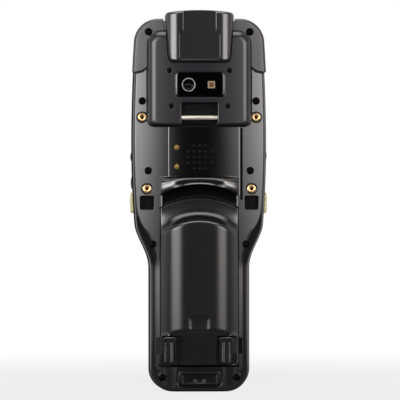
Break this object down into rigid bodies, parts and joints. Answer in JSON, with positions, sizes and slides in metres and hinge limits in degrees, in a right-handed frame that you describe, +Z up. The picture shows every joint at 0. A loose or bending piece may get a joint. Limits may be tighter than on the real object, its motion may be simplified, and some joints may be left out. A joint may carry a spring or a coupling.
{
  "type": "portable data terminal",
  "caption": "Rugged handheld barcode data terminal with scanner hood, rear camera module, swing-out battery pack and keypad.",
  "frame": {"origin": "middle of the bounding box's bottom face, where the terminal stands on its base", "axes": "+Z up along the terminal to its scanner hood, +Y towards the display side, +X to the right seen from the back"},
  "size_m": [0.0728, 0.0344, 0.1999],
  "materials": {
    "housing_plastic": "fine matte grain",
    "front_plastic": "satin",
    "seal_rubber": "matte",
    "bumper_rubber": "soft matte",
    "rest_plastic": "satin",
    "module_plastic": "satin",
    "hood_plastic": "satin",
    "scan_glass": "dark red filter",
    "engine_black": "matte",
    "window_black": "polished",
    "ring_silver": "satin",
    "lens_glass": "coated lens",
    "flash_amber": "clear lens over phosphor",
    "board_green": "solder mask",
    "steel_bright": "polished",
    "screw_black": "black oxide",
    "brass": "turned",
    "contact_gold": "plated",
    "inner_dark": "matte",
    "display_glass": "polished",
    "inner_steel": "stamped",
    "mat_rubber": "silicone",
    "pack_plastic": "fine matte grain",
    "cell_wrap": "shrink sleeve",
    "lock_plastic": "satin",
    "cover_rubber": "soft matte",
    "trigger_yellow": "satin",
    "key_rubber": "silicone, satin",
    "nav_grey": "satin"
  },
  "bodies": {
    "housing": {"rear_housing": "housing_plastic", "front_housing": "front_plastic", "corner_bumpers": "bumper_rubber", "finger_rest": "rest_plastic", "module_housing": "module_plastic", "scanner_hood": "hood_plastic", "scan_window": "scan_glass", "camera_window": "window_black", "strap_bar": "steel_bright", "display_glass": "display_glass", "io_connector": "inner_steel", "housing_seal": "seal_rubber", "scan_engine": "engine_black", "camera_ring": "ring_silver", "camera_lens": "lens_glass", "flash_led": "flash_amber", "camera_board": "board_green", "module_screws": "screw_black", "housing_screws": "screw_black", "grip_inserts": "brass", "trigger_contacts": "contact_gold", "speaker": "inner_dark", "display_module": "inner_dark", "main_board": "board_green", "card_holder": "inner_steel", "receiver": "inner_dark", "antenna": "contact_gold", "keypad_mat": "mat_rubber", "keypad_board": "board_green", "battery_contacts": "contact_gold"},
    "battery_pack": {"battery_cover": "pack_plastic", "battery_tray": "pack_plastic", "battery_cells": "cell_wrap", "battery_terminals": "contact_gold", "lock_leaves": "inner_steel"},
    "lock_left": {"lock_left": "lock_plastic"},
    "lock_right": {"lock_right": "lock_plastic"},
    "connector_cover": {"connector_cover": "cover_rubber"},
    "side_trigger_left": {"side_trigger_left": "trigger_yellow"},
    "side_trigger_right": {"side_trigger_right": "trigger_yellow"},
    "side_key_upper_left": {"side_key_upper_left": "key_rubber"},
    "side_key_lower_left": {"side_key_lower_left": "key_rubber"},
    "side_key_right": {"side_key_right": "key_rubber"},
    "nav_ring": {"nav_ring": "nav_grey"},
    "key_ok": {"key_ok": "key_rubber"},
    "key_scan": {"key_scan": "trigger_yellow"},
    "key_function_left": {"key_function_left": "key_rubber"},
    "key_function_right": {"key_function_right": "key_rubber"},
    "key_1": {"key_1": "key_rubber"},
    "key_2": {"key_2": "key_rubber"},
    "key_3": {"key_3": "key_rubber"},
    "key_4": {"key_4": "key_rubber"},
    "key_5": {"key_5": "key_rubber"},
    "key_6": {"key_6": "key_rubber"},
    "key_7": {"key_7": "key_rubber"},
    "key_8": {"key_8": "key_rubber"},
    "key_9": {"key_9": "key_rubber"},
    "key_clear": {"key_clear": "key_rubber"},
    "key_0": {"key_0": "key_rubber"},
    "key_enter": {"key_enter": "key_rubber"}
  },
  "joints": [
    {"name": "battery_hinge", "type": "hinge", "parent": "housing", "child": "battery_pack", "pos_m": [0, -0.00825, 0.10175], "axis": [-1, 0, 0], "range_deg": [0, 40]},
    {"name": "lock_left_slide", "type": "slide", "parent": "battery_pack", "child": "lock_left", "axis": [1, 0, 0], "range_m": [0, 0.0024]},
    {"name": "lock_right_slide", "type": "slide", "parent": "battery_pack", "child": "lock_right", "axis": [-1, 0, 0], "range_m": [-0.0022, 0.0002]},
    {"name": "connector_cover_hinge", "type": "hinge", "parent": "housing", "child": "connector_cover", "pos_m": [0, -0.01065, 0.0111], "axis": [-1, 0, 0], "range_deg": [0, 110]},
    {"name": "side_trigger_left_press", "type": "slide", "parent": "housing", "child": "side_trigger_left", "axis": [1, 0, 0], "range_m": [0, 0.0008], "stiffness_N_per_m": 700, "springref_m": -0.0006},
    {"name": "side_trigger_right_press", "type": "slide", "parent": "housing", "child": "side_trigger_right", "axis": [-1, 0, 0], "range_m": [0, 0.0008], "stiffness_N_per_m": 700, "springref_m": -0.0006},
    {"name": "side_key_upper_left_press", "type": "slide", "parent": "housing", "child": "side_key_upper_left", "axis": [1, 0, 0], "range_m": [0, 0.0005], "stiffness_N_per_m": 600, "springref_m": -0.0005},
    {"name": "side_key_lower_left_press", "type": "slide", "parent": "housing", "child": "side_key_lower_left", "axis": [1, 0, 0], "range_m": [0, 0.0005], "stiffness_N_per_m": 600, "springref_m": -0.0005},
    {"name": "side_key_right_press", "type": "slide", "parent": "housing", "child": "side_key_right", "axis": [-1, 0, 0], "range_m": [0, 0.0005], "stiffness_N_per_m": 600, "springref_m": -0.0005},
    {"name": "nav_ring_press", "type": "slide", "parent": "housing", "child": "nav_ring", "axis": [0, -1, 0], "range_m": [0, 0.0007], "stiffness_N_per_m": 500, "springref_m": -0.0005},
    {"name": "key_ok_press", "type": "slide", "parent": "housing", "child": "key_ok", "axis": [0, -1, 0], "range_m": [0, 0.0007], "stiffness_N_per_m": 500, "springref_m": -0.0005},
    {"name": "key_scan_press", "type": "slide", "parent": "housing", "child": "key_scan", "axis": [0, -1, 0], "range_m": [0, 0.0007], "stiffness_N_per_m": 500, "springref_m": -0.0005},
    {"name": "key_function_left_press", "type": "slide", "parent": "housing", "child": "key_function_left", "axis": [0, -1, 0], "range_m": [0, 0.0007], "stiffness_N_per_m": 500, "springref_m": -0.0005},
    {"name": "key_function_right_press", "type": "slide", "parent": "housing", "child": "key_function_right", "axis": [0, -1, 0], "range_m": [0, 0.0007], "stiffness_N_per_m": 500, "springref_m": -0.0005},
    {"name": "key_1_press", "type": "slide", "parent": "housing", "child": "key_1", "axis": [0, -1, 0], "range_m": [0, 0.0007], "stiffness_N_per_m": 500, "springref_m": -0.0005},
    {"name": "key_2_press", "type": "slide", "parent": "housing", "child": "key_2", "axis": [0, -1, 0], "range_m": [0, 0.0007], "stiffness_N_per_m": 500, "springref_m": -0.0005},
    {"name": "key_3_press", "type": "slide", "parent": "housing", "child": "key_3", "axis": [0, -1, 0], "range_m": [0, 0.0007], "stiffness_N_per_m": 500, "springref_m": -0.0005},
    {"name": "key_4_press", "type": "slide", "parent": "housing", "child": "key_4", "axis": [0, -1, 0], "range_m": [0, 0.0007], "stiffness_N_per_m": 500, "springref_m": -0.0005},
    {"name": "key_5_press", "type": "slide", "parent": "housing", "child": "key_5", "axis": [0, -1, 0], "range_m": [0, 0.0007], "stiffness_N_per_m": 500, "springref_m": -0.0005},
    {"name": "key_6_press", "type": "slide", "parent": "housing", "child": "key_6", "axis": [0, -1, 0], "range_m": [0, 0.0007], "stiffness_N_per_m": 500, "springref_m": -0.0005},
    {"name": "key_7_press", "type": "slide", "parent": "housing", "child": "key_7", "axis": [0, -1, 0], "range_m": [0, 0.0007], "stiffness_N_per_m": 500, "springref_m": -0.0005},
    {"name": "key_8_press", "type": "slide", "parent": "housing", "child": "key_8", "axis": [0, -1, 0], "range_m": [0, 0.0007], "stiffness_N_per_m": 500, "springref_m": -0.0005},
    {"name": "key_9_press", "type": "slide", "parent": "housing", "child": "key_9", "axis": [0, -1, 0], "range_m": [0, 0.0007], "stiffness_N_per_m": 500, "springref_m": -0.0005},
    {"name": "key_clear_press", "type": "slide", "parent": "housing", "child": "key_clear", "axis": [0, -1, 0], "range_m": [0, 0.0007], "stiffness_N_per_m": 500, "springref_m": -0.0005},
    {"name": "key_0_press", "type": "slide", "parent": "housing", "child": "key_0", "axis": [0, -1, 0], "range_m": [0, 0.0007], "stiffness_N_per_m": 500, "springref_m": -0.0005},
    {"name": "key_enter_press", "type": "slide", "parent": "housing", "child": "key_enter", "axis": [0, -1, 0], "range_m": [0, 0.0007], "stiffness_N_per_m": 500, "springref_m": -0.0005}
  ]
}
